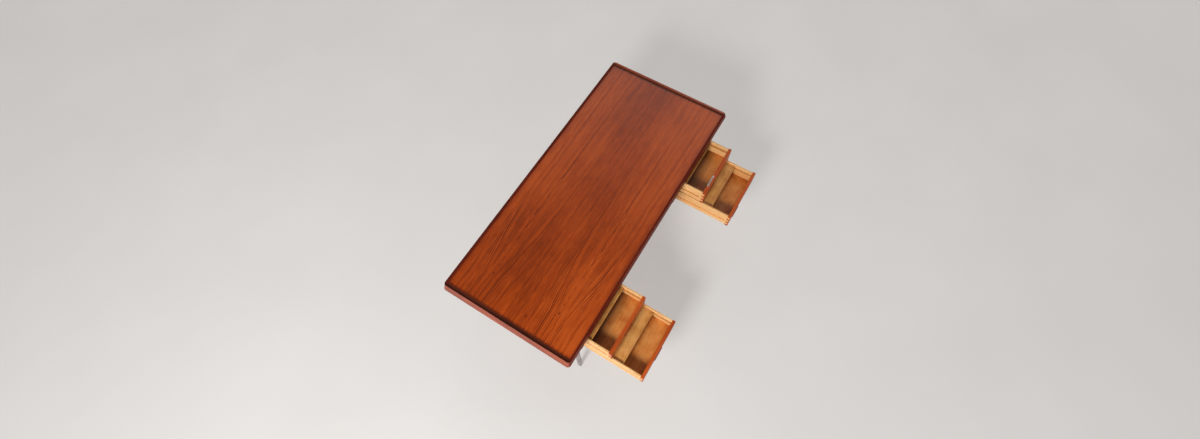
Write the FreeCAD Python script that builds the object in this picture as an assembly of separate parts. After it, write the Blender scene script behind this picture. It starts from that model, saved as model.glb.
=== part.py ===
import FreeCAD, Part
import math
import os

# Executive desk: a veneered top with a raised edging, on a square tube underframe that carries two
# hanging pedestals of two drawers each. Millimetres, +Z up. X runs along the desk, the user sits at -Y,
# and the origin is on the floor, in the middle of the four feet. The drawers stand open.

Vector = FreeCAD.Vector
X_AXIS = Vector(1, 0, 0)
Y_AXIS = Vector(0, 1, 0)
Z_AXIS = Vector(0, 0, 1)

# Overall
desk_length = 2000.0
desk_width = 900.0
desk_height = 725.0

# Raised edging of the top
edging_height = 45.0
lip_height = 12.0
end_slope = 18.0
side_slope = 5.0
crest_width = 2.0
end_cove = 22.0
side_cove = 13.0
end_cove_turn = 42
side_cove_turn = 70
corner_radius = 20.0
mitre_reach_share = 1.5

# Steel underframe
leg_size = 25.0
leg_end_inset = 125.0
leg_side_inset = 42.0
rail_width = 25.0
rail_height = 30.0
front_rail_margin = 173.0
rear_rail_margin = 27.0
tube_wall = 2.0
tube_corner = 3.0

# Foot glides
glide_height = 8.0
glide_diameter = 24.0
glide_chamfer = 1.5
glide_plug_height = 15.0
glide_plug_clearance = 0.1

# Screws of the underframe
screw_diameter = 6.0
screw_head_diameter = 12.0
screw_head_height = 4.0
screw_head_round = 1.5
screw_slot_width = 1.5
screw_slot_depth = 1.5
screw_hole_clearance = 0.1
top_screw_bite = 20.0
top_screw_margin = 83.0
cross_screw_pitch = 300.0
carcass_screw_pitch = 240.0
carcass_screw_reach = 12.0
counterbore_depth = 5.0
counterbore_clearance = 0.5

# Pedestal carcasses
pedestal_leg_gap = 27.0
carcass_width = 440.0
carcass_depth = 660.0
carcass_setback = 47.0
carcass_side_thickness = 18.0
carcass_board_thickness = 20.0
carcass_back_thickness = 12.0
arris_round = 1.0

# Drawer fronts and their pulls
front_height = 126.0
front_thickness = 20.0
front_gap = 3.0
front_side_gap = 2.0
front_edge_round = 2.0
pull_length = 93.0
pull_below_middle = 5.0
pull_height = 40.0
pull_depth = 11.0
pull_lip_height = 10.0
pull_lip_projection = 4.0
pull_lip_round = 1.8
left_pull_shift = -8.0
right_pull_shift = -90.0

# Drawer boxes
drawer_back_gap = 48.0
drawer_side_thickness = 14.0
drawer_back_thickness = 14.0
drawer_bottom_thickness = 6.0
side_top_drop = 4.0
side_bottom_rise = 10.0
side_edge_round = 4.0
bottom_rise = 6.0
bottom_groove_depth = 6.0
bottom_fit = 0.2
tail_count = 3
tail_length = 15.0
tail_root = 16.0
tail_tip = 22.0

# Drawer runners in the side grooves
groove_height = 16.0
groove_depth = 7.0
groove_drop = 70.0
groove_stop = 12.0
runner_back_gap = 95.0
running_clearance = 0.3

# Stationery trays on their ledges
tray_setback = 125.0
tray_floor_drop = 20.0
tray_floor_thickness = 6.0
tray_rim_height = 8.0
tray_rim_thickness = 6.0
tray_rim_round = 1.5
tray_side_clearance = 0.5
tray_back_clearance = 0.5
ledge_width = 6.0
ledge_height = 8.0

# Drawer lock
lock_length = 93.0
lock_height = 45.0
lock_thickness = 10.0
lock_body_length = 60.0
lock_plate = 2.0
plug_diameter = 16.0
plug_drop = 24.0
barrel_wall = 2.0
barrel_fit = 0.1
key_slot_width = 1.6
key_slot_height = 8.0
key_slot_depth = 5.0
crank_radius = 5.5
crank_pin_diameter = 3.0
crank_clearance = 0.4
crank_start_angle = -45.0
bolt_width = 40.0
bolt_thickness = 4.0
bolt_drop = 0.5
bolt_tail = 12.0
lock_screw_diameter = 3.0
lock_screw_head_diameter = 6.0
lock_screw_head_height = 1.6
lock_screw_length = 13.0
lock_screw_inset = 8.0
lock_screw_drop = 32.0
lock_screw_slot_width = 0.8
lock_screw_slot_depth = 0.8
mortise_clearance = 1.5

# How far each drawer stands open
left_upper_opening = 205.0
left_lower_opening = 423.0
right_upper_opening = 193.0
right_lower_opening = 405.0

# How far every cutting shape runs past the face that it cuts, and how near two places count as one
overrun = 5.0
same_place = 1e-6

# The two pedestals and the two drawers in each
side_signs = {"left": -1, "right": 1}
row_signs = {"front": -1, "back": 1}
level_numbers = {"upper": 0, "lower": 1}
openings = {
    ("left", "upper"): left_upper_opening,
    ("left", "lower"): left_lower_opening,
    ("right", "upper"): right_upper_opening,
    ("right", "lower"): right_lower_opening,
}
pull_shifts = {"left": left_pull_shift, "right": right_pull_shift}
locked_drawer = ("right", "upper")

# Heights and places that several pieces share
half_length = desk_length / 2
half_width = desk_width / 2
underside = desk_height - edging_height
writing_surface = desk_height - lip_height
crest_half_length = half_length - end_slope
crest_half_width = half_width - side_slope
panel_half_length = crest_half_length - crest_width - end_cove
panel_half_width = crest_half_width - crest_width - side_cove
leg_outer_x = half_length - leg_end_inset
leg_outer_y = half_width - leg_side_inset
cross_rail_x = leg_outer_x - leg_size / 2
rail_underside = underside - rail_height
carcass_front = carcass_setback - half_width
carcass_rear = carcass_front + carcass_depth
carcass_outer_x = leg_outer_x - leg_size - pedestal_leg_gap
carcass_inner_x = carcass_outer_x - carcass_width
carcass_middle_x = carcass_outer_x - carcass_width / 2
carcass_back_face = carcass_rear - carcass_back_thickness
drawer_length = carcass_back_face - drawer_back_gap - carcass_front
level_pitch = front_height + front_gap
drawer_room_top = rail_underside - carcass_board_thickness
drawer_room_bottom = drawer_room_top - len(level_numbers) * level_pitch - front_gap
carcass_underside = drawer_room_bottom - carcass_board_thickness
room_half_width = carcass_width / 2 - carcass_side_thickness
long_rail_places = {"front": carcass_front + front_rail_margin, "back": carcass_rear - rear_rail_margin}
front_half_width = room_half_width - front_side_gap

pieces = {}


def block(x_ends, y_ends, z_ends):
    """A box between two ends on each axis."""
    x_low, x_high = sorted(x_ends)
    y_low, y_high = sorted(y_ends)
    z_low, z_high = sorted(z_ends)
    corner = Vector(x_low, y_low, z_low)
    return Part.makeBox(x_high - x_low, y_high - y_low, z_high - z_low, corner)


def edges_along(shape, axis):
    """The straight edges of a shape that run along X, Y or Z."""
    found = []
    for edge in shape.Edges:
        start, end = edge.Vertexes[0].Point, edge.Vertexes[-1].Point
        step = end - start
        if (step - axis * step.dot(axis)).Length < same_place:
            found.append(edge)
    return found


def edges_on(shape, axis, place):
    """The edges of a shape that lie in one plane square to an axis."""
    found = []
    for edge in shape.Edges:
        if all(abs(vertex.Point.dot(axis) - place) < same_place for vertex in edge.Vertexes):
            found.append(edge)
    return found


def prism(points, push):
    """A flat outline pushed along a vector into a solid."""
    outline = Part.makePolygon(points + points[:1])
    return Part.Face(outline).extrude(push)


def solids_of(shape):
    """A boolean result as its single solid, or as a group of them."""
    return shape.Solids[0] if len(shape.Solids) == 1 else Part.makeCompound(shape.Solids)


# Top panel and its mitred edging
def rounded_outline(outline_half_length, outline_half_width, radius, height):
    """A rectangle with round corners, in a level plane."""
    arc_x = outline_half_length - radius
    arc_y = outline_half_width - radius
    corners = [(arc_x, arc_y), (-arc_x, arc_y), (-arc_x, -arc_y), (arc_x, -arc_y)]
    arcs = []
    for number, (x, y) in enumerate(corners):
        turn = 90 * number
        arcs.append(Part.makeCircle(radius, Vector(x, y, height), Z_AXIS, turn, turn + 90))
    edges = []
    for arc, following in zip(arcs, arcs[1:] + arcs[:1]):
        edges.append(arc)
        edges.append(Part.makeLine(arc.Vertexes[-1].Point, following.Vertexes[0].Point))
    return Part.Wire(Part.__sortEdges__(edges))


def coved_trough(along, across, length, floor_half, cove, turn):
    """A trough over the panel whose two sides rise in hollow arcs that turn by the given degrees."""
    chord = math.hypot(cove, lip_height)
    sag = chord / 2 * math.tan(math.radians(turn) / 4)
    middle_reach = cove / 2 + sag * lip_height / chord
    middle_rise = lip_height / 2 - sag * cove / chord
    start = along * (-length / 2) + Z_AXIS * writing_surface

    def point(reach, rise):
        return start + across * reach + Z_AXIS * rise

    edges = []
    for hand in (-1, 1):
        foot = point(hand * floor_half, 0)
        middle = point(hand * (floor_half + middle_reach), middle_rise)
        edges.append(Part.Arc(foot, middle, point(hand * (floor_half + cove), lip_height)).toShape())
    rim = lip_height + overrun
    corners = [point(floor_half + cove, lip_height), point(floor_half + cove, rim),
               point(-floor_half - cove, rim), point(-floor_half - cove, lip_height)]
    edges += [Part.makeLine(a, b) for a, b in zip(corners, corners[1:])]
    edges.append(Part.makeLine(point(-floor_half, 0), point(floor_half, 0)))
    outline = Part.Wire(Part.__sortEdges__(edges))
    return Part.Face(outline).extrude(along * length)


def make_edging():
    """One sloping ring with a coved inner side, cut at the mitres into its four lips."""
    foot = rounded_outline(half_length, half_width, corner_radius, underside)
    crest = rounded_outline(crest_half_length, crest_half_width, corner_radius, desk_height)
    ring = Part.makeLoft([foot, crest], True, True)
    inside = rounded_outline(crest_half_length - crest_width, crest_half_width - crest_width,
                             corner_radius - crest_width, writing_surface)
    pocket = Part.Face(inside).extrude(Z_AXIS * (lip_height + overrun))
    end_trough = coved_trough(Y_AXIS, X_AXIS, desk_width, panel_half_length, end_cove, end_cove_turn)
    side_trough = coved_trough(X_AXIS, Y_AXIS, desk_length, panel_half_width, side_cove, side_cove_turn)
    pocket = pocket.common(end_trough).common(side_trough)
    core = block((-panel_half_length, panel_half_length), (-panel_half_width, panel_half_width),
                 (underside - overrun, writing_surface))
    ring = ring.cut(pocket).cut(core)
    mitre_x = panel_half_length + mitre_reach_share * (half_length - panel_half_length)
    mitre_y = panel_half_width + mitre_reach_share * (half_width - panel_half_width)
    wedges = {}
    for side, sign in side_signs.items():
        corners = [(panel_half_length, panel_half_width), (mitre_x, mitre_y),
                   (mitre_x, -mitre_y), (panel_half_length, -panel_half_width)]
        points = [Vector(sign * x, y, underside - overrun) for x, y in corners]
        wedges[side] = prism(points, Vector(0, 0, edging_height + 2 * overrun))
        pieces[side + "_end_lip"] = solids_of(ring.common(wedges[side]))
    long_lips = ring.cut(wedges["left"]).cut(wedges["right"])
    for lip in long_lips.Solids:
        name = "front_lip" if lip.CenterOfMass.y < 0 else "back_lip"
        pieces[name] = lip


def make_top_panel():
    """The veneered panel that the edging surrounds."""
    pieces["top_panel"] = block((-panel_half_length, panel_half_length),
                                (-panel_half_width, panel_half_width), (underside, writing_surface))


# Steel underframe
def square_tube(x_ends, y_ends, z_ends, axis):
    """A square tube with rounded corners, open at both ends."""
    outer = block(x_ends, y_ends, z_ends)
    outer = outer.makeFillet(tube_corner, edges_along(outer, axis))
    ends = []
    for pair, along in zip((x_ends, y_ends, z_ends), (X_AXIS, Y_AXIS, Z_AXIS)):
        low, high = sorted(pair)
        margin = -overrun if along == axis else tube_wall
        ends.append((low + margin, high - margin))
    return outer.cut(block(*ends))


def make_underframe():
    """Four legs, a cross rail at each end and two long rails under the top."""
    leg_inner_x = leg_outer_x - leg_size
    leg_inner_y = leg_outer_y - leg_size
    rail_z = (rail_underside, underside)
    for side, x_sign in side_signs.items():
        for row, y_sign in row_signs.items():
            pieces[row + "_" + side + "_leg"] = square_tube(
                (x_sign * leg_inner_x, x_sign * leg_outer_x), (y_sign * leg_inner_y, y_sign * leg_outer_y),
                (glide_height, underside), Z_AXIS)
        rail_x = (x_sign * (cross_rail_x - rail_width / 2), x_sign * (cross_rail_x + rail_width / 2))
        pieces[side + "_cross_rail"] = square_tube(rail_x, (-leg_inner_y, leg_inner_y), rail_z, Y_AXIS)
    rail_end = cross_rail_x - rail_width / 2
    for row, rail_y in long_rail_places.items():
        y_ends = (rail_y - rail_width / 2, rail_y + rail_width / 2)
        pieces[row + "_long_rail"] = square_tube((-rail_end, rail_end), y_ends, rail_z, X_AXIS)


def make_foot_glides():
    """A round foot on a square plug for the lower end of each leg."""
    plug_half = leg_size / 2 - tube_wall - glide_plug_clearance
    glides = []
    for x_sign in side_signs.values():
        for y_sign in row_signs.values():
            x = x_sign * (leg_outer_x - leg_size / 2)
            y = y_sign * (leg_outer_y - leg_size / 2)
            foot = Part.makeCylinder(glide_diameter / 2, glide_height, Vector(x, y, 0))
            foot = foot.makeChamfer(glide_chamfer, edges_on(foot, Z_AXIS, 0))
            plug = block((x - plug_half, x + plug_half), (y - plug_half, y + plug_half),
                         (glide_height, glide_height + glide_plug_height))
            glides.append(foot.fuse(plug))
    pieces["foot_glides"] = Part.makeCompound(glides)


def upright_screw(x, y, seat, reach):
    """A slotted pan head under a seat, and a shank that rises from it."""
    head_low = seat - screw_head_height
    head_radius = screw_head_diameter / 2
    head = Part.makeCylinder(head_radius, screw_head_height, Vector(x, y, head_low))
    head = head.makeFillet(screw_head_round, edges_on(head, Z_AXIS, head_low))
    slot = block((x - head_radius - overrun, x + head_radius + overrun),
                 (y - screw_slot_width / 2, y + screw_slot_width / 2),
                 (head_low - overrun, head_low + screw_slot_depth))
    return head.cut(slot).fuse(Part.makeCylinder(screw_diameter / 2, reach, Vector(x, y, seat)))


def drill(names, x, y, z_ends, diameter):
    """An upright hole through the named pieces."""
    low, high = z_ends
    hole = Part.makeCylinder(diameter / 2, high - low, Vector(x, y, low))
    for name in names:
        pieces[name] = pieces[name].cut(hole)


def make_top_screws():
    """Screws through the rails into the panel, where the pedestals leave room for their heads."""
    top_screw_x = carcass_inner_x - top_screw_margin
    places = []
    for row, rail_y in long_rail_places.items():
        for step in (-1, 0, 1):
            places.append((row + "_long_rail", step * top_screw_x, rail_y))
    for side, x_sign in side_signs.items():
        for step in (-1, 1):
            places.append((side + "_cross_rail", x_sign * cross_rail_x, step * cross_screw_pitch / 2))
    reach = rail_height + top_screw_bite
    hole = screw_diameter + 2 * screw_hole_clearance
    screws = []
    for rail, x, y in places:
        screws.append(upright_screw(x, y, rail_underside, reach))
        drill([rail, "top_panel"], x, y, (rail_underside - overrun, rail_underside + reach), hole)
    pieces["top_screws"] = Part.makeCompound(screws)


# Pedestal carcasses
def make_carcass(side):
    """Two sides with a top, a bottom and a back between them."""
    sign = side_signs[side]
    depth = (carcass_front, carcass_rear)
    between = (sign * (carcass_middle_x - room_half_width), sign * (carcass_middle_x + room_half_width))
    height = (carcass_underside, rail_underside)
    pieces[side + "_carcass_inner_side"] = block((sign * carcass_inner_x, between[0]), depth, height)
    pieces[side + "_carcass_outer_side"] = block((between[1], sign * carcass_outer_x), depth, height)
    pieces[side + "_carcass_top"] = block(between, depth, (drawer_room_top, rail_underside))
    pieces[side + "_carcass_bottom"] = block(between, depth, (carcass_underside, drawer_room_bottom))
    for board in ("inner_side", "outer_side", "top", "bottom"):
        name = side + "_carcass_" + board
        pieces[name] = pieces[name].makeFillet(arris_round, edges_on(pieces[name], Y_AXIS, carcass_front))
    pieces[side + "_carcass_back"] = block(between, (carcass_back_face, carcass_rear),
                                           (drawer_room_bottom, drawer_room_top))


def make_carcass_screws():
    """Screws from inside each carcass top up into the rails, with sunk heads."""
    seat = drawer_room_top + counterbore_depth
    reach = rail_underside - seat + carcass_screw_reach
    hole = screw_diameter + 2 * screw_hole_clearance
    screws = []
    for side, x_sign in side_signs.items():
        for row, y in long_rail_places.items():
            for step in (-1, 1):
                x = x_sign * carcass_middle_x + step * carcass_screw_pitch / 2
                screws.append(upright_screw(x, y, seat, reach))
                names = [side + "_carcass_top", row + "_long_rail"]
                drill(names, x, y, (drawer_room_top - overrun, seat + reach), hole)
                drill(names[:1], x, y, (drawer_room_top - overrun, seat),
                      screw_head_diameter + 2 * counterbore_clearance)
    pieces["carcass_screws"] = Part.makeCompound(screws)


def front_top(level):
    """Height of the upper edge of a drawer front."""
    return drawer_room_top - front_gap - level_numbers[level] * level_pitch


def round_nosed_bar(x_ends, y_nose, y_tail, z_middle, height):
    """A bar along Y with a half round nose, as a router cuts a stopped groove."""
    radius = height / 2
    x_low, x_high = sorted(x_ends)
    bar = block(x_ends, (y_nose + radius, y_tail), (z_middle - radius, z_middle + radius))
    nose = Part.makeCylinder(radius, x_high - x_low, Vector(x_low, y_nose + radius, z_middle), X_AXIS)
    return bar.fuse(nose).removeSplitter()


def make_runners(side):
    """A runner on each inner face of the carcass for each drawer."""
    middle = side_signs[side] * carcass_middle_x
    nose = carcass_front + front_thickness + groove_stop + running_clearance
    tail = carcass_back_face - runner_back_gap
    reach = front_side_gap + groove_depth - running_clearance
    bars = []
    for level in level_numbers:
        z = front_top(level) - groove_drop
        for hand in (-1, 1):
            wall = middle + hand * room_half_width
            bars.append(round_nosed_bar((wall, wall - hand * reach), nose, tail, z,
                                        groove_height - 2 * running_clearance))
    pieces[side + "_runners"] = Part.makeCompound(bars)


# Drawers
class DrawerPlace:
    """Where one drawer stands: its middle, its front face and its heights."""

    def __init__(self, side, level):
        self.name = side + "_" + level
        self.middle = side_signs[side] * carcass_middle_x
        self.outer_face = carcass_front - openings[side, level]
        self.inner_face = self.outer_face + front_thickness
        self.rear = self.outer_face + drawer_length
        self.back_face = self.rear - drawer_back_thickness
        self.top = front_top(level)
        self.bottom = self.top - front_height
        self.side_top = self.top - side_top_drop
        self.side_bottom = self.bottom + side_bottom_rise
        self.panel_low = self.side_bottom + bottom_rise
        self.panel_high = self.panel_low + drawer_bottom_thickness
        self.inner_half_width = front_half_width - drawer_side_thickness
        self.pull_x = self.middle + pull_shifts[side]


def dovetails(place, hand):
    """The tails of one drawer side, which reach into the end of the front."""
    spacing = (place.side_top - place.side_bottom) / tail_count
    outer_x = place.middle + hand * front_half_width
    tails = []
    for number in range(tail_count):
        z = place.side_bottom + (number + 0.5) * spacing
        tip_y = place.inner_face - tail_length
        points = [Vector(outer_x, place.inner_face, z - tail_root / 2),
                  Vector(outer_x, tip_y, z - tail_tip / 2),
                  Vector(outer_x, tip_y, z + tail_tip / 2),
                  Vector(outer_x, place.inner_face, z + tail_root / 2)]
        tails.append(prism(points, Vector(-hand * drawer_side_thickness, 0, 0)))
    return tails


def bottom_panel(place, slack):
    """The drawer bottom, or the room that its grooves leave for it."""
    half = place.inner_half_width + bottom_groove_depth + slack
    return block((place.middle - half, place.middle + half),
                 (place.inner_face - bottom_groove_depth - slack, place.rear + slack),
                 (place.panel_low - slack, place.panel_high + slack))


def make_drawer_front(place):
    """The front board with its scooped pull, a lip under the scoop and the sockets of the dovetails."""
    board = block((place.middle - front_half_width, place.middle + front_half_width),
                  (place.outer_face, place.inner_face), (place.bottom, place.top))
    board = board.makeFillet(front_edge_round, edges_on(board, Y_AXIS, place.outer_face))
    scoop_middle = (place.top + place.bottom) / 2 - pull_below_middle
    scoop_radius = (pull_height ** 2 / 4 + pull_depth ** 2) / (2 * pull_depth)
    scoop_axis_y = place.outer_face + pull_depth - scoop_radius
    scoop_start = Vector(place.pull_x - pull_length / 2, scoop_axis_y, scoop_middle)
    scoop = Part.makeCylinder(scoop_radius, pull_length, scoop_start, X_AXIS)
    lip_top = scoop_middle - pull_height / 2
    lip = block((place.pull_x - pull_length / 2, place.pull_x + pull_length / 2),
                (place.outer_face - pull_lip_projection, place.outer_face + pull_depth),
                (lip_top - pull_lip_height, lip_top))
    lip = lip.makeFillet(pull_lip_round, edges_on(lip, Y_AXIS, place.outer_face - pull_lip_projection))
    board = board.cut(scoop).fuse(lip)
    for hand in (-1, 1):
        for tail in dovetails(place, hand):
            board = board.cut(tail)
    return board.cut(bottom_panel(place, bottom_fit)).removeSplitter()


def make_drawer_side(place, hand):
    """A side board with rounded upper edges, dovetails, a runner groove and a groove for the bottom."""
    outer_x = place.middle + hand * front_half_width
    inner_x = outer_x - hand * drawer_side_thickness
    board = block((outer_x, inner_x), (place.inner_face, place.rear), (place.side_bottom, place.side_top))
    upper = [edge for edge in edges_on(board, Z_AXIS, place.side_top) if edge.Length > drawer_side_thickness]
    board = board.makeFillet(side_edge_round, upper)
    for tail in dovetails(place, hand):
        board = board.fuse(tail)
    groove_x = (outer_x + hand * overrun, outer_x - hand * groove_depth)
    groove = round_nosed_bar(groove_x, place.inner_face + groove_stop, place.rear + overrun,
                             place.top - groove_drop, groove_height)
    return board.cut(groove).cut(bottom_panel(place, bottom_fit)).removeSplitter()


def make_drawer(side, level):
    """One drawer: its front, two sides, back and bottom, its tray and the ledges of the tray."""
    place = DrawerPlace(side, level)
    inner = (place.middle - place.inner_half_width, place.middle + place.inner_half_width)
    drawer = place.name + "_drawer"
    pieces[drawer + "_front"] = make_drawer_front(place)
    pieces[drawer + "_side_left"] = make_drawer_side(place, -1)
    pieces[drawer + "_side_right"] = make_drawer_side(place, 1)
    pieces[drawer + "_back"] = block(inner, (place.back_face, place.rear), (place.panel_high, place.side_top))
    pieces[drawer + "_bottom"] = bottom_panel(place, 0)
    make_tray(place, inner)


def make_tray(place, inner):
    """A shallow tray and the two ledges that it slides on."""
    floor_top = place.side_top - tray_floor_drop
    floor_low = floor_top - tray_floor_thickness
    x_ends = (inner[0] + tray_side_clearance, inner[1] - tray_side_clearance)
    y_ends = (place.inner_face + tray_setback, place.back_face - tray_back_clearance)
    tray = block(x_ends, y_ends, (floor_low, floor_top + tray_rim_height))
    well = block((x_ends[0] + tray_rim_thickness, x_ends[1] - tray_rim_thickness),
                 (y_ends[0] + tray_rim_thickness, y_ends[1] - tray_rim_thickness),
                 (floor_top, floor_top + tray_rim_height + overrun))
    tray = tray.cut(well)
    rim = edges_on(tray, Z_AXIS, floor_top + tray_rim_height)
    pieces[place.name + "_tray"] = tray.makeFillet(tray_rim_round, rim)
    ledge_top = floor_low - running_clearance
    ledges = []
    for wall, inward in ((inner[0], 1), (inner[1], -1)):
        ledges.append(block((wall, wall + inward * ledge_width), (place.inner_face, place.back_face),
                            (ledge_top - ledge_height, ledge_top)))
    pieces[place.name + "_tray_ledges"] = Part.makeCompound(ledges)


# Lock
def lock_screw(seat, inward):
    """A countersunk screw whose head is flush with its seat."""
    cone = Part.makeCone(lock_screw_head_diameter / 2, lock_screw_diameter / 2, lock_screw_head_height,
                         seat, inward)
    shank = Part.makeCylinder(lock_screw_diameter / 2, lock_screw_length, seat, inward)
    return cone.fuse(shank)


def slotted(screw, seat, inward):
    """The same screw with the slot for its driver across the head, along X."""
    along = X_AXIS * (lock_screw_head_diameter / 2 + overrun)
    across = inward.cross(X_AXIS) * (lock_screw_slot_width / 2)
    above = seat - inward * overrun
    points = [above - along - across, above + along - across, above + along + across, above - along + across]
    return screw.cut(prism(points, inward * (overrun + lock_screw_slot_depth)))


def make_lock():
    """A drawer lock let into the back of the front: its case, plug, bolt and screws."""
    place = DrawerPlace(*locked_drawer)
    front = place.name + "_drawer_front"
    x = place.pull_x
    plug_z = place.top - plug_drop
    case_face = place.inner_face - lock_thickness
    plate_x = (x - lock_length / 2, x + lock_length / 2)
    case_z = (place.top - lock_height, place.top)
    selvedge = block(plate_x, (case_face, place.inner_face), (place.top - lock_plate, place.top))
    back_plate = block(plate_x, (place.inner_face - lock_plate, place.inner_face), case_z)
    body = block((x - lock_body_length / 2, x + lock_body_length / 2), (case_face, place.inner_face), case_z)
    barrel_radius = plug_diameter / 2 + running_clearance + barrel_wall
    plug_mouth = Vector(x, place.outer_face, plug_z)
    barrel = Part.makeCylinder(barrel_radius, case_face - place.outer_face, plug_mouth, Y_AXIS)
    shell = selvedge.fuse([back_plate, body])
    bolt_y = (place.inner_face - lock_plate - running_clearance - bolt_thickness,
              place.inner_face - lock_plate - running_clearance)
    room = block((x - bolt_width / 2 - running_clearance, x + bolt_width / 2 + running_clearance),
                 (bolt_y[0] - running_clearance, bolt_y[1] + running_clearance),
                 (case_z[0] + lock_plate, place.top + overrun))
    bore = Part.makeCylinder(plug_diameter / 2 + running_clearance, bolt_y[0] - place.outer_face + overrun,
                             Vector(x, place.outer_face - overrun, plug_z), Y_AXIS)
    seats = []
    for hand in (-1, 1):
        screw_x = x + hand * (lock_length / 2 - lock_screw_inset)
        seats.append((Vector(screw_x, (case_face + place.inner_face) / 2, place.top), -Z_AXIS))
        seats.append((Vector(screw_x, place.inner_face, place.top - lock_screw_drop), -Y_AXIS))
    case = shell.fuse(barrel).cut(room).cut(bore)
    barrel_hole = Part.makeCylinder(barrel_radius + barrel_fit, case_face - place.outer_face + overrun,
                                    Vector(x, place.outer_face - overrun, plug_z), Y_AXIS)
    board = pieces[front].cut(shell).cut(barrel_hole)
    screws = []
    for seat, inward in seats:
        screw = lock_screw(seat, inward)
        case = case.cut(screw)
        board = board.cut(screw)
        screws.append(slotted(screw, seat, inward))
    pieces[front] = board
    pieces["lock_case"] = solids_of(case.removeSplitter())
    pieces["lock_screws"] = Part.makeCompound(screws)

    crank_angle = math.radians(crank_start_angle)
    pin_x = x + crank_radius * math.cos(crank_angle)
    pin_z = plug_z + crank_radius * math.sin(crank_angle)
    plug_end = bolt_y[0] - running_clearance
    plug = Part.makeCylinder(plug_diameter / 2, plug_end - place.outer_face, plug_mouth, Y_AXIS)
    key_slot = block((x - key_slot_width / 2, x + key_slot_width / 2),
                     (place.outer_face - overrun, place.outer_face + key_slot_depth),
                     (plug_z - key_slot_height / 2, plug_z + key_slot_height / 2))
    pin = Part.makeCylinder(crank_pin_diameter / 2, bolt_thickness + running_clearance,
                            Vector(pin_x, plug_end, pin_z), Y_AXIS)
    pieces["lock_plug"] = plug.cut(key_slot).fuse(pin)

    bolt_z = (plug_z - bolt_tail, place.top - bolt_drop)
    bolt = block((x - bolt_width / 2, x + bolt_width / 2), bolt_y, bolt_z)
    slot_margin = crank_pin_diameter / 2 + crank_clearance
    slot = block((pin_x - slot_margin, x + crank_radius + slot_margin),
                 (bolt_y[0] - overrun, bolt_y[1] + overrun), (pin_z - slot_margin, pin_z + slot_margin))
    pieces["lock_bolt"] = bolt.cut(slot)
    cut_mortise(x, bolt_y[0] + openings[locked_drawer], bolt_y[1] + openings[locked_drawer])


def cut_mortise(x, y_low, y_high):
    """The slot in the carcass top that takes the bolt of the closed drawer."""
    rise = -2 * crank_radius * math.sin(math.radians(crank_start_angle))
    reach = rise - bolt_drop - front_gap
    side = locked_drawer[0]
    mortise = block((x - bolt_width / 2 - mortise_clearance, x + bolt_width / 2 + mortise_clearance),
                    (y_low - mortise_clearance, y_high + mortise_clearance),
                    (drawer_room_top - overrun, drawer_room_top + reach + mortise_clearance))
    pieces[side + "_carcass_top"] = pieces[side + "_carcass_top"].cut(mortise)


make_top_panel()
make_edging()
make_underframe()
make_foot_glides()
for carcass_side in side_signs:
    make_carcass(carcass_side)
    make_runners(carcass_side)
make_top_screws()
make_carcass_screws()
for drawer_side, drawer_level in openings:
    make_drawer(drawer_side, drawer_level)
make_lock()

os.makedirs("parts", exist_ok=True)
for piece_name, shape in pieces.items():
    shape.exportStep("parts/" + piece_name + ".step")
    state = "valid" if shape.isValid() else "not valid"
    print(piece_name, len(shape.Solids), "solids", round(shape.Volume), "mm3", state)
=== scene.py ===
import bpy
import bmesh
import math
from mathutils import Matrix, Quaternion, Vector


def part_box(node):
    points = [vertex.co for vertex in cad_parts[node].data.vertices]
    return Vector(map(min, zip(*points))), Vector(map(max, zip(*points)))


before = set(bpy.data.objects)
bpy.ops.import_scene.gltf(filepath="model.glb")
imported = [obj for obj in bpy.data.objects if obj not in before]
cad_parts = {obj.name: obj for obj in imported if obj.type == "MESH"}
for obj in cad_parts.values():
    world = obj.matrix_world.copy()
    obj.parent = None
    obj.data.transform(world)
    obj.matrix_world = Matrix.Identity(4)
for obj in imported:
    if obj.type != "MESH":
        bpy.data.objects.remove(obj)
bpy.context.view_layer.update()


# Steel underframe
# Square steel tube, cut to length, welded at the corners and brushed along its length to a satin sheen.
# Each pair of legs carries a cross rail, and two long rails between them carry the top and the pedestals.
def screen_colour(red, green, blue):
    """A colour read off a screen, 0 to 255, as the linear colour that a shader takes."""
    linear = []
    for level in (red / 255, green / 255, blue / 255):
        linear.append(level / 12.92 if level <= 0.04045 else ((level + 0.055) / 1.055) ** 2.4)
    return (*linear, 1.0)


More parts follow.
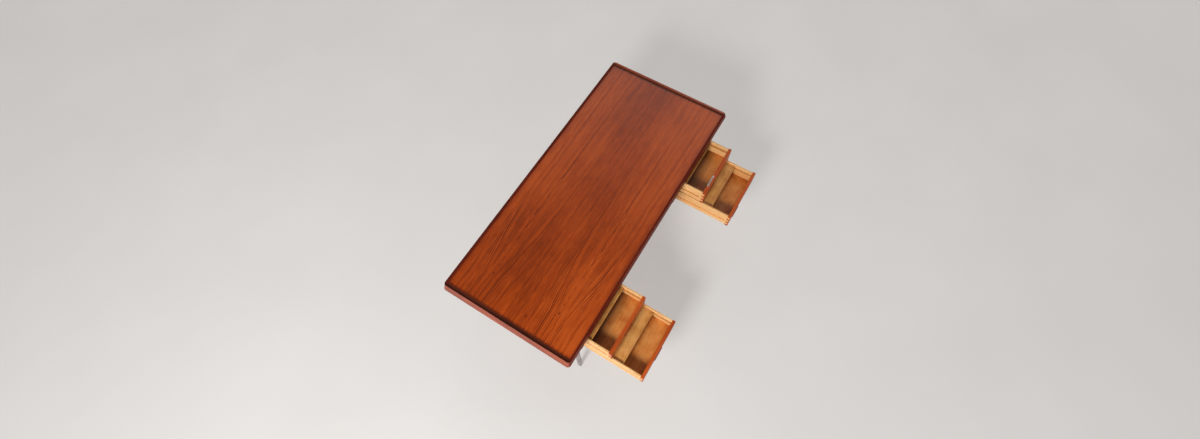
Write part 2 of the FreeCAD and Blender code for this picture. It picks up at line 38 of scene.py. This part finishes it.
class Finish:
    """A surface finish: one material, and short calls that add its shader nodes."""

    def __init__(self, name):
        self.material = bpy.data.materials.new(name)
        self.material.use_nodes = True
        self.tree = self.material.node_tree
        self.surface = self.tree.nodes["Principled BSDF"]
        self.place = self.add("TexCoord").outputs["Object"]

    def put(self, socket, value):
        """Links a socket to a node's output, or sets it."""
        if isinstance(value, bpy.types.NodeSocket):
            self.tree.links.new(value, socket)
        else:
            socket.default_value = value

    def add(self, kind, inputs=None, **settings):
        """A shader node with its settings made and its inputs filled."""
        node = self.tree.nodes.new("ShaderNode" + kind)
        for setting, value in settings.items():
            setattr(node, setting, value)
        for socket, value in (inputs or {}).items():
            self.put(node.inputs[socket], value)
        return node

    def axes(self, vector):
        """The X, Y and Z of a vector."""
        return self.add("SeparateXYZ", {"Vector": vector}).outputs

    def math(self, operation, first, second=0.0):
        """One sum."""
        return self.add("Math", {0: first, 1: second}, operation=operation).outputs[0]

    def vector_math(self, operation, first, second=(0.0, 0.0, 0.0)):
        """One sum on vectors. A length or a dot product is a plain value."""
        node = self.add("VectorMath", {0: first, 1: second}, operation=operation)
        return node.outputs["Value" if operation in ("LENGTH", "DOT_PRODUCT") else "Vector"]

    def weighed(self, *parts):
        """A half, plus each value's departure from a half times its share."""
        total = 0.5 - sum(share for value, share in parts) / 2
        for value, share in parts:
            total = self.add("Math", {0: value, 1: share, 2: total}, operation="MULTIPLY_ADD").outputs[0]
        return total

    def less(self, value, *marks):
        """A value, less each mark times its share."""
        for mark, share in marks:
            value = self.math("SUBTRACT", value, self.math("MULTIPLY", mark, share))
        return value

    def noise(self, vector, counts, detail=2.0, roughness=0.5):
        """Soft noise from 0 to 1, with so many lumps to a metre each way."""
        mapped = self.add("Mapping", {"Vector": vector, "Scale": counts}).outputs["Vector"]
        settings = {"Vector": mapped, "Scale": 1.0, "Detail": detail, "Roughness": roughness}
        return self.add("TexNoise", settings).outputs["Fac"]

    def swing(self, vector, counts, reach, detail=2.0):
        """Soft noise as a swing of this many metres to either side."""
        return self.spread(self.noise(vector, counts, detail), 0.2, 0.8, -reach, reach)

    def bands(self, distance, count, detail=3.0, roughness=0.6):
        """Uneven bands along a distance, about this many to a metre."""
        settings = {"W": distance, "Scale": count, "Detail": detail, "Roughness": roughness}
        return self.add("TexNoise", settings, noise_dimensions="1D").outputs["Fac"]

    def edges(self, value, width):
        """Thin lines where a value passes through a half."""
        return self.spread(self.math("ABSOLUTE", self.math("SUBTRACT", value, 0.5)), width, 0.0)

    def spread(self, value, low, high, to_low=0.0, to_high=1.0):
        """A value between two limits, spread over two others."""
        limits = {"Value": value, "From Min": low, "From Max": high, "To Min": to_low, "To Max": to_high}
        return self.add("MapRange", limits).outputs["Result"]

    def ramp(self, value, *stops):
        """Colours along a value, from stops of a position and a colour."""
        node = self.add("ValToRGB", {"Fac": value})
        elements = node.color_ramp.elements
        elements[0].position, elements[0].color = stops[0]
        elements[1].position, elements[1].color = stops[-1]
        for position, colour in stops[1:-1]:
            elements.new(position).color = colour
        return node.outputs["Color"]

    def blend(self, share, under, over):
        """A share of one colour laid over another."""
        return self.add("Mix", {0: share, 6: under, 7: over}, data_type="RGBA").outputs[2]

    def relief(self, height, depth):
        """Fine relief, this many metres deep."""
        bump = self.add("Bump", {"Height": height, "Distance": depth, "Strength": 1.0})
        self.put(self.surface.inputs["Normal"], bump.outputs["Normal"])

    def set(self, **sockets):
        """Sets or links the main shader's sockets, with _ for a space."""
        for socket, value in sockets.items():
            self.put(self.surface.inputs[socket.replace("_", " ")], value)


def dress(finish, *names):
    """Gives these pieces a finish."""
    for name in names:
        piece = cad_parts[name].data
        piece.materials.clear()
        piece.materials.append(finish.material)


steel_pale = screen_colour(186, 174, 171)
steel_dull = screen_colour(138, 126, 123)
brush_lines_along = 3.0
brush_lines_across = 1400.0
brush_depth = 0.00004
steel_marks = (14.0, 14.0, 9.0)
steel_lengths = {
    "x": ("front_long_rail", "back_long_rail"),
    "y": ("left_cross_rail", "right_cross_rail"),
    "z": ("front_left_leg", "front_right_leg", "back_left_leg", "back_right_leg"),
}


def brushed_steel(axis):
    """Satin steel with brush lines along one axis and dull handling marks."""
    steel = Finish("satin_steel_" + axis)
    counts = [brush_lines_along if letter == axis else brush_lines_across for letter in "xyz"]
    lines = steel.noise(steel.place, counts, detail=3.0, roughness=0.7)
    marks = steel.noise(steel.place, steel_marks, detail=5.0, roughness=0.62)
    wear = steel.math("ADD", lines, marks)
    colour = steel.ramp(steel.spread(wear, 0.75, 1.25), (0.0, steel_dull), (1.0, steel_pale))
    steel.set(Base_Color=colour, Metallic=0.92, Roughness=steel.spread(wear, 0.7, 1.3, 0.46, 0.26))
    steel.relief(lines, brush_depth)
    return steel


for brushed_axis, tubes in steel_lengths.items():
    dress(brushed_steel(brushed_axis), *tubes)


# Foot glides and screws
# A moulded glide is plugged into the end of each leg. Slotted pan head screws, zinc plated and a little
# tarnished, go up through the rails into the top, and from inside each pedestal up into the long rails.
glide_black = screen_colour(38, 36, 35)
glide_worn = screen_colour(82, 78, 74)
scuff_height = 0.004
scuff_counts = (420.0, 420.0, 420.0)
scuff_depth = 0.00008
zinc_bright = screen_colour(186, 182, 172)
zinc_dull = screen_colour(112, 104, 92)
tarnish_counts = (160.0, 160.0, 160.0)
grit_counts = (1500.0, 1500.0, 1500.0)
grit_depth = 0.00003


def glide_plastic():
    """Hard moulded plastic, scuffed paler where it rubs on the floor."""
    plastic = Finish("glide_plastic")
    height = plastic.axes(plastic.place)["Z"]
    scuffs = plastic.noise(plastic.place, scuff_counts, detail=4.0, roughness=0.65)
    rubbed = plastic.math("MULTIPLY", plastic.spread(height, scuff_height, 0.0),
                          plastic.spread(scuffs, 0.4, 0.65))
    plastic.set(Base_Color=plastic.blend(rubbed, glide_black, glide_worn),
                Roughness=plastic.spread(scuffs, 0.3, 0.7, 0.38, 0.62))
    plastic.relief(scuffs, scuff_depth)
    return plastic


def plated_metal(name, bright, dull):
    """Plated metal with a patchy tarnish."""
    plate = Finish(name)
    tarnish = plate.noise(plate.place, tarnish_counts, detail=5.0, roughness=0.7)
    share = plate.spread(tarnish, 0.38, 0.66)
    plate.set(Base_Color=plate.ramp(share, (0.0, bright), (1.0, dull)), Metallic=1.0,
              Roughness=plate.spread(share, 0.0, 1.0, 0.24, 0.5))
    plate.relief(plate.noise(plate.place, grit_counts), grit_depth)
    return plate


dress(glide_plastic(), "foot_glides")
dress(plated_metal("zinc_screws", zinc_bright, zinc_dull), "top_screws", "carcass_screws")


# Writing surface
# Two leaves of teak veneer, opened like a book about the middle joint, on a board. The flames of each leaf
# point to the near end and run out to straight stripes at the far end, under a satin lacquer.
top_low, top_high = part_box("top_panel")
teak_black = screen_colour(92, 33, 9)
teak_deep = screen_colour(140, 53, 11)
teak_warm = screen_colour(164, 65, 14)
teak_gold = screen_colour(190, 84, 24)
mark_inset = 0.075
knot_place = Vector((top_low.x + mark_inset, -0.081, top_high.z))
knot_size = 0.007
blotch_place = Vector((top_low.x + mark_inset, 0.068, top_high.z))
blotch_size = 0.07
spot_shares = (0.45, 1.0, 0.0)
leaf_heart = 0.24
leaf_sway = 0.022
leaf_ripple = 0.003
heart_depth = 0.006
flame_tip = -0.78
flame_end = 0.1
flame_spread = 0.09
flame_width = 0.11
flame_fade = 0.055
flame_count = 96.0
stripe_count = 30.0
stripe_sway_share = 0.4
streak_count = 120.0
late_wood_shares = (0.45, 0.96)
ring_wander = 4.0
rings_to_wander = 6.0
faintest_ring_share = 0.2
middle_width = 0.12
end_grime_and_shade = 0.016
far_grime_and_shade_share = 0.8
long_grime_and_shade = 0.008
veneer_pore_depth = 0.00006
lacquer_matt = (0.22, 0.32)
veneer_counts = {
    "sway": (1.1, 4.0, 1.0), "ripple": (6.0, 20.0, 1.0), "fibres": (16.0, 520.0, 1.0),
    "mottle": (11.0, 34.0, 1.0), "clouds": (1.4, 3.6, 1.0), "pores": (40.0, 1100.0, 1.0),
    "patches": (2.5, 8.0, 1.0),
}


def growth_lines(wood, distance, count):
    """Dark late wood at the end of each growth ring, uneven in spacing and in strength."""
    wander = wood.math("MULTIPLY", wood.bands(distance, count / rings_to_wander, detail=2.0), ring_wander)
    rings = wood.math("ADD", wood.math("MULTIPLY", distance, count), wander)
    late = wood.spread(wood.math("FRACT", rings), *late_wood_shares)
    chance = wood.add("TexWhiteNoise", {"W": wood.math("FLOOR", rings)}, noise_dimensions="1D")
    strength = wood.spread(chance.outputs["Value"], 0.0, 1.0, faintest_ring_share, 1.0)
    return wood.math("MULTIPLY", late, strength)


def flame_zone(wood, along, off_heart):
    """One beside the heart, where the leaf shows flames, fading out to its sides and to the far end."""
    beside = wood.spread(wood.math("ABSOLUTE", off_heart), flame_width + flame_fade, flame_width)
    return wood.math("MULTIPLY", beside, wood.spread(along, top_high.x, -flame_end))


def flame_lines(wood, along, off_heart):
    """Growth lines cut at a slant near the heart of the log, so that they nest and point to the near end."""
    squares = wood.math("ADD", wood.math("POWER", wood.math("ABSOLUTE", off_heart), 2.0), heart_depth ** 2)
    from_end = wood.math("POWER", wood.spread(along, flame_end, flame_tip), 2.0)
    opened = wood.spread(from_end, 1.0, 0.0, 0.0, flame_spread)
    ring = wood.math("SUBTRACT", wood.math("SQRT", squares), opened)
    return growth_lines(wood, ring, flame_count)


def spot(wood, place, size):
    """One at a place on the wood, and nothing beyond its size."""
    offset = wood.vector_math("SUBTRACT", wood.place, place)
    distance = wood.vector_math("LENGTH", wood.vector_math("MULTIPLY", offset, spot_shares))
    return wood.spread(distance, size, size / 4)


def end_dirt_and_shade(wood, along):
    """Darkening along the two ends of the panel, at the foot of the lips, most at the near end: dirt in the
    joint and painted shade from the lips.
    """
    ends = wood.spread(wood.math("ABSOLUTE", along), top_high.x - end_grime_and_shade, top_high.x)
    return wood.math("MULTIPLY", wood.spread(along, top_low.x, top_high.x, 1.0, far_grime_and_shade_share), ends)


def wood_sheen(wood, fibres, clouds, low, high):
    """A roughness between two levels that follows the wood's fibres and clouds."""
    return wood.spread(wood.math("ADD", fibres, clouds), 0.6, 1.4, low, high)


def top_veneer():
    """Book-matched flame veneer: the same leaf twice, mirrored about the middle joint."""
    wood = Finish("teak_top_veneer")
    place = wood.axes(wood.place)
    along = place["X"]
    across = wood.math("ABSOLUTE", place["Y"])
    leaf = wood.add("CombineXYZ", {"X": along, "Y": across}).outputs["Vector"]
    sway = wood.swing(leaf, veneer_counts["sway"], leaf_sway, detail=1.0)
    ripple = wood.swing(leaf, veneer_counts["ripple"], leaf_ripple)
    off_heart = wood.math("ADD", wood.math("SUBTRACT", across, leaf_heart), wood.math("ADD", sway, ripple))
    straight = wood.math("ADD", across, wood.math("MULTIPLY", sway, stripe_sway_share))
    stripes = wood.bands(straight, stripe_count)
    fibres = wood.noise(leaf, veneer_counts["fibres"], detail=3.0, roughness=0.65)
    mottle = wood.noise(leaf, veneer_counts["mottle"], detail=3.0)
    clouds = wood.noise(wood.place, veneer_counts["clouds"])
    pores = wood.spread(wood.noise(leaf, veneer_counts["pores"]), 0.6, 0.7)
    zone = flame_zone(wood, along, off_heart)
    patches = wood.spread(wood.noise(leaf, veneer_counts["patches"], detail=1.0), 0.35, 0.65, 0.5, 1.0)
    breaks = wood.math("MULTIPLY", patches, wood.spread(fibres, 0.35, 0.65, 0.45, 1.1))
    flames = wood.math("MULTIPLY", flame_lines(wood, along, off_heart), wood.math("MULTIPLY", zone, breaks))
    streaks = wood.math("MULTIPLY", growth_lines(wood, straight, streak_count),
                        wood.spread(zone, 0.0, 1.0, 1.0, 0.25))
    middle = wood.spread(across, middle_width, 0.0)
    # Painted shade: the back leaf is darkened towards the near end, where its fibres catch less of the
    # light.
    back_leaf_shade = wood.math("MULTIPLY", wood.spread(place["Y"], 0.0, leaf_heart),
                          wood.spread(along, top_high.x, top_low.x))
    # Grime and painted shade along the front and back edges, at the foot of the long lips.
    long_dirt_and_shade = wood.spread(across, top_high.y - long_grime_and_shade, top_high.y)
    knot = spot(wood, knot_place, knot_size)
    blotch = spot(wood, blotch_place, blotch_size)
    figure = wood.weighed((stripes, 0.5), (mottle, 0.3), (fibres, 0.5), (clouds, 0.6))
    figure = wood.less(figure, (flames, 0.86), (streaks, 0.22), (pores, 0.08), (middle, 0.16),
                       (end_dirt_and_shade(wood, along), 0.4), (long_dirt_and_shade, 0.2), (knot, 0.3), (blotch, -0.14),
                       (back_leaf_shade, 0.11))
    colour = wood.ramp(figure, (0.05, teak_black), (0.28, teak_deep), (0.43, teak_warm), (0.64, teak_gold))
    wood.set(Base_Color=colour, Roughness=wood_sheen(wood, fibres, clouds, *lacquer_matt))
    wood.relief(wood.math("SUBTRACT", fibres, pores), veneer_pore_depth)
    return wood


dress(top_veneer(), "top_panel")


# Edging
# Four solid teak lips, mitred at the corners and glued round the panel. They slope outwards to the foot,
# the end lips most. Their inner side is hollowed with a cutter, and darkened with grime and painted shade.
long_lip_tones = (screen_colour(52, 14, 7), screen_colour(88, 25, 12), screen_colour(112, 35, 17),
                  screen_colour(132, 49, 26))
end_lip_tones = (screen_colour(66, 22, 12), screen_colour(107, 39, 20), screen_colour(140, 57, 29),
                 screen_colour(164, 77, 43))
lip_grime_and_shade = screen_colour(32, 10, 5)
lip_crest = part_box("front_lip")[1].z
long_hollow_shares = (0.34, 0.45)
# Painted shade: the near end's hollow is darkest at its crest, and the far end's only at its foot.
end_hollow_shares = {"left": (0.71, 0.95), "right": (0.85, 0.0)}
hollow_turn = 0.03
hollow_matt = 0.8
clear_gloss = (1.0, 1.0, 1.0, 1.0)
no_gloss = (0.0, 0.0, 0.0, 1.0)
grain_turns = {"x": (0.0, 0.0, 0.0), "y": (0.0, 0.0, -math.pi / 2)}
log_taper_shares = (0.012, 1.0, 1.0)
ring_edge = 0.03
pore_depth = 0.00015
dirt_and_shade_share = 0.3
wear_reach = 0.003
wear_share = 0.12
air_samples = 6
matt_dip = 0.06
matt_rise = 0.1
long_lip_shine = 0.12
end_lip_shine = 0.42
timber_counts = {
    "sway": (1.7, 6.0, 6.0), "fibres": (8.0, 460.0, 460.0), "clouds": (2.6, 11.0, 11.0),
    "pores": (40.0, 1300.0, 1300.0), "stains": (15.0, 15.0, 15.0),
}


def timber(name, grain, tones, rings=150.0, ring_share=0.8, heart=(0.31, -0.47), bend=0.02, pore_share=0.08,
           stain_share=0.2, dirt_and_shade_reach=0.012, matt=0.34):
    """Solid wood: growth rings about a log's heart, fibres along the grain, open pores, worn edges, and
    darkening in crevices that is part dirt and part painted shade.
    """
    wood = Finish(name)
    turned = wood.add("Mapping", {"Vector": wood.place, "Rotation": grain_turns[grain]}).outputs["Vector"]
    sway = wood.swing(turned, timber_counts["sway"], bend, detail=1.0)
    moved = wood.vector_math("ADD", turned, wood.add("CombineXYZ", {"Y": sway, "Z": sway}).outputs["Vector"])
    from_heart = wood.vector_math("SUBTRACT", moved, (0.0, *heart))
    radius = wood.vector_math("LENGTH", wood.vector_math("MULTIPLY", from_heart, log_taper_shares))
    growth = wood.bands(radius, rings)
    lines = wood.edges(wood.bands(radius, rings / 2, detail=2.0), ring_edge)
    fibres = wood.noise(turned, timber_counts["fibres"], detail=3.0, roughness=0.65)
    clouds = wood.noise(turned, timber_counts["clouds"])
    pores = wood.spread(wood.noise(turned, timber_counts["pores"]), 0.6, 0.72)
    stains = wood.noise(wood.place, timber_counts["stains"], detail=4.0, roughness=0.55)
    # Part dirt, part painted shade: the wood is darkened where ambient occlusion finds nearby surfaces, in
    # crevices, corners and grooves.
    open_air = wood.add("AmbientOcclusion", {"Distance": dirt_and_shade_reach}, samples=air_samples).outputs["AO"]
    edge_air = wood.add("AmbientOcclusion", {"Distance": wear_reach}, samples=air_samples, inside=True)
    dirt_and_shade = wood.spread(open_air, 0.75, 0.2)
    wear = wood.spread(edge_air.outputs["AO"], 0.4, 0.9)
    figure = wood.weighed((growth, ring_share), (fibres, 0.4), (clouds, 0.5), (stains, stain_share))
    figure = wood.less(figure, (lines, ring_share / 12), (pores, pore_share), (dirt_and_shade, dirt_and_shade_share),
                       (wear, -wear_share))
    darkest, deep, warm, palest = tones
    colour = wood.ramp(figure, (0.2, darkest), (0.38, deep), (0.53, warm), (0.75, palest))
    sheen = wood_sheen(wood, fibres, clouds, matt - matt_dip, matt + matt_rise)
    wood.set(Base_Color=colour, Roughness=sheen)
    wood.relief(wood.math("SUBTRACT", fibres, pores), pore_depth)
    return wood


def soil_and_shade(wood, share, dark_colour):
    """Lays a share of a darker colour over the wood's own colour, for grime and for painted shade."""
    clean = wood.surface.inputs["Base Color"].links[0].from_socket
    wood.set(Base_Color=wood.blend(share, clean, dark_colour))


def darken_hollow(wood, across, foot_share, crest_share):
    """Darkens and dulls a lip's hollow, from its foot to its crest, with grime and painted shade."""
    place = wood.axes(wood.place)
    facing = wood.axes(wood.add("NewGeometry").outputs["Normal"])
    inward = wood.spread(wood.math("MULTIPLY", place[across], facing[across]), hollow_turn, -hollow_turn)
    climb = wood.spread(place["Z"], top_high.z, lip_crest, foot_share, crest_share)
    grime_and_shade = wood.math("MULTIPLY", inward, climb)
    soil_and_shade(wood, grime_and_shade, lip_grime_and_shade)
    sheen = wood.surface.inputs["Roughness"].links[0].from_socket
    wood.set(Roughness=wood.spread(grime_and_shade, 0.0, 1.0, sheen, hollow_matt),
             Specular_Tint=wood.blend(grime_and_shade, clear_gloss, no_gloss))


long_lips = timber("teak_lip_long", "x", long_lip_tones, matt=0.5)
darken_hollow(long_lips, "Y", *long_hollow_shares)
long_lips.set(Specular_IOR_Level=long_lip_shine)
dress(long_lips, "front_lip", "back_lip")
for end, hollow_shares in end_hollow_shares.items():
    end_lip = timber("teak_lip_" + end, "y", end_lip_tones, matt=0.26)
    darken_hollow(end_lip, "X", *hollow_shares)
    end_lip.set(Specular_IOR_Level=end_lip_shine)
    dress(end_lip, end + "_end_lip")


# Pedestal carcasses
# Boxes of teak veneered board, open at the front, where the edges are eased. The grain runs front to back,
# and along the desk on the back board. Screws from inside hold each box up to the long rails.
case_tones = (screen_colour(58, 24, 12), screen_colour(98, 42, 20), screen_colour(128, 58, 27),
              screen_colour(150, 76, 38))
pedestals = ("left", "right")
case_sides = timber("teak_case_sides", "y", case_tones, rings=120.0, heart=(0.2, -0.75))
case_backs = timber("teak_case_backs", "x", case_tones, rings=120.0, heart=(0.9, 0.2))
for pedestal in pedestals:
    for board in ("inner_side", "outer_side", "top", "bottom"):
        dress(case_sides, pedestal + "_carcass_" + board)
    dress(case_backs, pedestal + "_carcass_back")


# Drawer runners
# Beech strips, fixed to the carcass sides, that run in the grooves of the drawer sides. They are waxed to
# slide easily.
beech_tones = (screen_colour(150, 98, 56), screen_colour(188, 134, 84), screen_colour(208, 158, 106),
               screen_colour(224, 182, 132))
dress(timber("waxed_beech", "y", beech_tones, rings=220.0, pore_share=0.05, matt=0.32),
      *[pedestal + "_runners" for pedestal in pedestals])


# Drawer fronts
# Solid teak boards with the grain along the desk. A finger pull is scooped out of each, and the sides are
# lap dovetailed into the back of the board.
front_tones = (screen_colour(84, 28, 7), screen_colour(140, 51, 11), screen_colour(178, 72, 17),
               screen_colour(202, 92, 28))
front_thickness = 0.02
front_heart_ahead = 0.4
front_heart_height = 0.25
front_shine = 0.35
pull_length = 0.093
pull_height = 0.04
pull_drop = 0.005
pull_depth = 0.011
pull_shifts = {"left": -0.008, "right": -0.09}
pull_fade = 0.002
pull_shade = screen_colour(46, 15, 12)
drawers = [side + "_" + level for side in pedestals for level in ("upper", "lower")]


def handled_front(drawer):
    """One front board, with painted shade in the scoop of its pull."""
    side = drawer.split("_")[0]
    low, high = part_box(drawer + "_drawer_front")
    middle = (low + high) / 2
    outer_face = high.y - front_thickness
    scoop_back = outer_face + pull_depth
    wood = timber("teak_front_" + drawer, "x", front_tones, rings=130.0, ring_share=0.6,
                  heart=(middle.y - front_heart_ahead, front_heart_height), bend=0.005, matt=0.38)
    place = wood.axes(wood.place)
    off_x = wood.math("ABSOLUTE", wood.math("SUBTRACT", place["X"], middle.x + pull_shifts[side]))
    off_z = wood.math("ABSOLUTE", wood.math("SUBTRACT", place["Z"], middle.z - pull_drop))
    pull_area = wood.math("MULTIPLY", wood.spread(off_x, pull_length / 2 + pull_fade, pull_length / 2),
                     wood.spread(off_z, pull_height / 2 + pull_fade, pull_height / 2))
    # Painted shade inside the scoop, deepest at its back.
    in_scoop = wood.math("MULTIPLY", wood.spread(place["Y"], outer_face, scoop_back, 0.2, 0.9),
                         wood.spread(place["Y"], scoop_back + pull_fade, scoop_back))
    soil_and_shade(wood, wood.math("MULTIPLY", pull_area, in_scoop), pull_shade)
    wood.set(Specular_IOR_Level=front_shine)
    return wood


for drawer in drawers:
    dress(handled_front(drawer), drawer + "_drawer_front")


# Drawer boxes
# Oak sides and back, planed and left nearly bare, with a plywood bottom slid into grooves. Years of use
# have left the oak honey coloured.
oak_tones = (screen_colour(170, 100, 44), screen_colour(222, 152, 82), screen_colour(242, 180, 110),
             screen_colour(250, 204, 142))
ply_tones = (screen_colour(154, 78, 24), screen_colour(198, 111, 41), screen_colour(216, 132, 57),
             screen_colour(228, 154, 78))
under_tray_shade = screen_colour(86, 42, 13)
tray_shade_reach = 0.075
tray_shade_shares = {"upper": 0.88, "lower": 0.2}
oak_along = timber("oak_sides", "y", oak_tones, rings=210.0, pore_share=0.14, matt=0.45)
oak_across = timber("oak_backs", "x", oak_tones, rings=210.0, heart=(0.6, 0.1), pore_share=0.14, matt=0.45)


def ply_bottom(drawer):
    """A plywood bottom with painted shade under the tray and just in front of it, most in an upper drawer.
    """
    level = drawer.split("_")[1]
    # The long reach of the crevice darkening paints a wide shade along the walls and the tray's edge.
    ply = timber("bottom_ply_" + drawer, "x", ply_tones, rings=60.0, ring_share=0.35, heart=(0.3, 0.43),
                 pore_share=0.05, stain_share=0.9, dirt_and_shade_reach=0.07, matt=0.42)
    tray_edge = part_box(drawer + "_tray")[0].y
    depth = ply.axes(ply.place)["Y"]
    # Painted shade: a dark band under the tray and in front of it, deepest in the upper drawers.
    tray_shade = ply.spread(depth, tray_edge - tray_shade_reach, tray_edge, 0.0, tray_shade_shares[level])
    soil_and_shade(ply, tray_shade, under_tray_shade)
    return ply


for drawer in drawers:
    dress(oak_along, drawer + "_drawer_side_left", drawer + "_drawer_side_right")
    dress(oak_across, drawer + "_drawer_back")
    dress(ply_bottom(drawer), drawer + "_drawer_bottom")


# Stationery trays
# A shallow tray with a rim slides on two strips glued to the drawer sides. Both are of bare wood, a little
# darker than the sides.
tray_tones = (screen_colour(144, 86, 32), screen_colour(186, 121, 53), screen_colour(204, 140, 68),
              screen_colour(218, 160, 88))
tray_wood = timber("tray_wood", "x", tray_tones, rings=90.0, ring_share=0.4, heart=(-0.9, 0.2),
                   pore_share=0.06, stain_share=0.9, matt=0.45)
ledge_wood = timber("ledge_wood", "y", tray_tones, rings=160.0, pore_share=0.07, matt=0.45)
for drawer in drawers:
    dress(tray_wood, drawer + "_tray")
    dress(ledge_wood, drawer + "_tray_ledges")


# Lock
# A nickelled case let into the back of the front, flush with its top edge and held by four countersunk
# screws, with a brass plug that the key turns and a bolt that rises into the carcass top.
nickel_bright = screen_colour(222, 218, 212)
nickel_dull = screen_colour(136, 126, 116)
screw_bright = screen_colour(246, 244, 240)
screw_dull = screen_colour(206, 202, 196)
brass_bright = screen_colour(226, 186, 110)
brass_dull = screen_colour(150, 112, 56)
dress(plated_metal("nickelled_case", nickel_bright, nickel_dull), "lock_case", "lock_bolt")
dress(plated_metal("polished_screws", screw_bright, screw_dull), "lock_screws")
dress(plated_metal("brass_plug", brass_bright, brass_dull), "lock_plug")


# Floor
# A plain pale floor, matt and faintly mottled, that reaches well past the photograph's view. To the eye it
# is evenly pale, and it keeps a soft share of the desk's shadow.
floor_half = 9.0
floor_evenness = 0.5
floor_matt = 0.75
floor_grey = screen_colour(225, 222, 219)
floor_white = screen_colour(229, 226, 223)
floor_counts = (1.2, 1.2, 1.2)


def pale_floor():
    """Matt paint. To the eye a share of its paleness is its own, and the rest is light that falls on it."""
    paint = Finish("pale_floor")
    mottle = paint.noise(paint.place, floor_counts, detail=4.0)
    colour = paint.ramp(mottle, (0.3, floor_grey), (0.7, floor_white))
    paint.set(Base_Color=colour, Roughness=floor_matt)
    glow = paint.add("Emission", {"Color": colour, "Strength": 1.0}).outputs["Emission"]
    rays = paint.add("LightPath").outputs
    mirrored = paint.math("MAXIMUM", rays["Is Glossy Ray"], rays["Is Transmission Ray"])
    seen = paint.math("MAXIMUM", rays["Is Camera Ray"], mirrored)
    share = paint.math("MULTIPLY", seen, floor_evenness)
    mixed = paint.add("MixShader", {0: share, 1: paint.surface.outputs["BSDF"], 2: glow})
    paint.put(paint.tree.nodes["Material Output"].inputs["Surface"], mixed.outputs["Shader"])
    return paint


floor_mesh = bmesh.new()
bmesh.ops.create_grid(floor_mesh, x_segments=2, y_segments=2, size=floor_half)
floor_data = bpy.data.meshes.new("floor")
floor_mesh.to_mesh(floor_data)
floor_mesh.free()
floor_data.materials.append(pale_floor().material)
floor = bpy.data.objects.new("floor", floor_data)
bpy.context.scene.collection.objects.link(floor)


# Light
# A broad soft light high beyond the near end, in a room that is pale all round, dark overhead, and palest
# above the far end, where it gives the top its sheen.
key_place = Vector((-4.7, -0.5, 4.1))
key_aim = Vector((-0.3, -0.4, 0.5))
key_size = 1.5
key_power = 275.0
room_level = 0.62
room_pale = (1.0, 0.98, 0.96, 1.0)
room_low, room_high = 0.35, 0.6
room_tilt = (0.6, 0.0, -0.8)
room_near, room_far = -0.8, 0.6
room_levels = ((0.0, (0.02, 0.02, 0.02, 1.0)), (0.12, (0.1, 0.095, 0.09, 1.0)),
               (0.26, (0.3, 0.29, 0.28, 1.0)), (0.4, (2.0, 1.95, 1.92, 1.0)), (1.0, (1.2, 1.17, 1.15, 1.0)))
key_data = bpy.data.lights.new("key_light", "AREA")
key_data.shape = "DISK"
key_data.size = key_size
key_data.energy = key_power
key_light = bpy.data.objects.new("key_light", key_data)
key_light.location = key_place
key_light.rotation_mode = "QUATERNION"
key_light.rotation_quaternion = (key_aim - key_place).to_track_quat("-Z", "Y")
bpy.context.scene.collection.objects.link(key_light)


class Room(Finish):
    """The room's own light, painted on a sphere round the desk with the same short calls."""

    def __init__(self, name):
        self.world = bpy.data.worlds.new(name)
        self.world.use_nodes = True
        self.tree = self.world.node_tree
        self.surface = self.tree.nodes["Background"]
        self.place = self.add("TexCoord").outputs["Generated"]


room = Room("room")
room_height = room.spread(room.axes(room.place)["Z"], room_low, room_high)
room_reach = room.spread(room.vector_math("DOT_PRODUCT", room.place, room_tilt), room_near, room_far)
room_overhead = room.ramp(room_reach, *room_levels)
room.set(Color=room.blend(room_height, room_pale, room_overhead), Strength=room_level)
bpy.context.scene.world = room.world
bpy.context.scene.view_settings.view_transform = "Standard"


# Camera
# It looks steeply down on the desk from beyond its near front corner, through a wide lens, a little rolled,
# as the photograph does.
camera_place = Vector((-1.3077, -0.9101, 3.7031))
camera_aim = Vector((-0.1442, -0.1278, 0.725))
camera_roll = math.radians(-2.57)
camera_lens = 15.9
camera_sensor = 36.0
camera_data = bpy.data.cameras.new("camera")
camera_data.lens = camera_lens
camera_data.sensor_width = camera_sensor
camera_data.sensor_fit = "HORIZONTAL"
camera = bpy.data.objects.new("camera", camera_data)
camera.location = camera_place
camera.rotation_mode = "QUATERNION"
camera.rotation_quaternion = ((camera_aim - camera_place).to_track_quat("-Z", "Y")
                              @ Quaternion((0.0, 0.0, 1.0), camera_roll))
bpy.context.scene.collection.objects.link(camera)
bpy.context.scene.camera = camera
